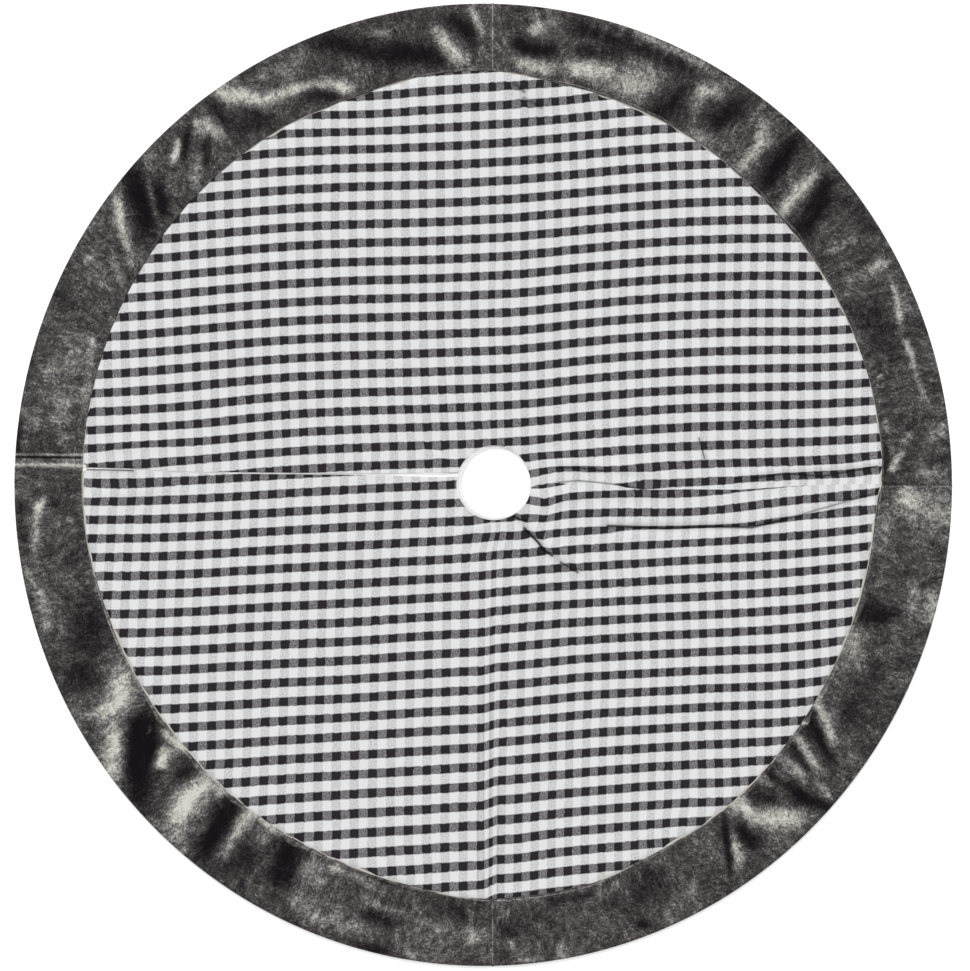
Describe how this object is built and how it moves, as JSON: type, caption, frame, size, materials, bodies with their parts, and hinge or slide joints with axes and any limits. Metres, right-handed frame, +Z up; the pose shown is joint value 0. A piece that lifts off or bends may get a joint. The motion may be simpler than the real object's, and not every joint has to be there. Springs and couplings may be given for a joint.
{
  "type": "tree skirt",
  "caption": "Round gingham tree skirt with a crushed velvet border, a faced trunk hole and a taped slit; quarters fold on pressed creases and a seam.",
  "frame": {"origin": "on the surface the skirt lies on, under the middle of its outline's box; the trunk hole's centre is 13.5 mm along +X and 2.6 mm along +Y from it", "axes": "+Z up through the cloth, +Y towards the twelve o'clock fold, +X towards the three o'clock seam, so the slit is on -X"},
  "size_m": [1.2037, 1.2358, 0.0059],
  "materials": {
    "gingham": "black and white woven check, matt cotton",
    "velvet": "black crushed velvet, satin sheen on the brushed pile",
    "interlining": "matt needled interlining",
    "lining": "matt plain weave, white",
    "tape": "matt folded binding, white"
  },
  "bodies": {
    "lower_right": {"gingham_lower_right": "gingham", "velvet_border_lower_right": "velvet", "interlining_lower_right": "interlining", "lining_lower_right": "lining", "hole_facing_lower_right": "tape"},
    "upper_right": {"gingham_upper_right": "gingham", "velvet_border_upper_right": "velvet", "interlining_upper_right": "interlining", "lining_upper_right": "lining", "hole_facing_upper_right": "tape"},
    "upper_left": {"gingham_upper_left": "gingham", "velvet_border_upper_left": "velvet", "interlining_upper_left": "interlining", "lining_upper_left": "lining", "hole_facing_upper_left": "tape", "slit_tape_upper": "tape"},
    "lower_left": {"gingham_lower_left": "gingham", "velvet_border_lower_left": "velvet", "interlining_lower_left": "interlining", "lining_lower_left": "lining", "hole_facing_lower_left": "tape", "slit_tape_lower": "tape"}
  },
  "joints": [
    {"name": "seam_turn", "type": "hinge", "parent": "lower_right", "child": "upper_right", "pos_m": [0, -0.002, 0.0124], "axis": [1, 0, 0], "range_deg": [0, 180]},
    {"name": "upper_fold", "type": "hinge", "parent": "upper_right", "child": "upper_left", "pos_m": [0.012, 0, 0.0061], "axis": [0, 1, 0], "range_deg": [0, 180]},
    {"name": "lower_fold", "type": "hinge", "parent": "lower_right", "child": "lower_left", "pos_m": [0.012, 0, 0.0061], "axis": [0, 1, 0], "range_deg": [0, 180]}
  ]
}
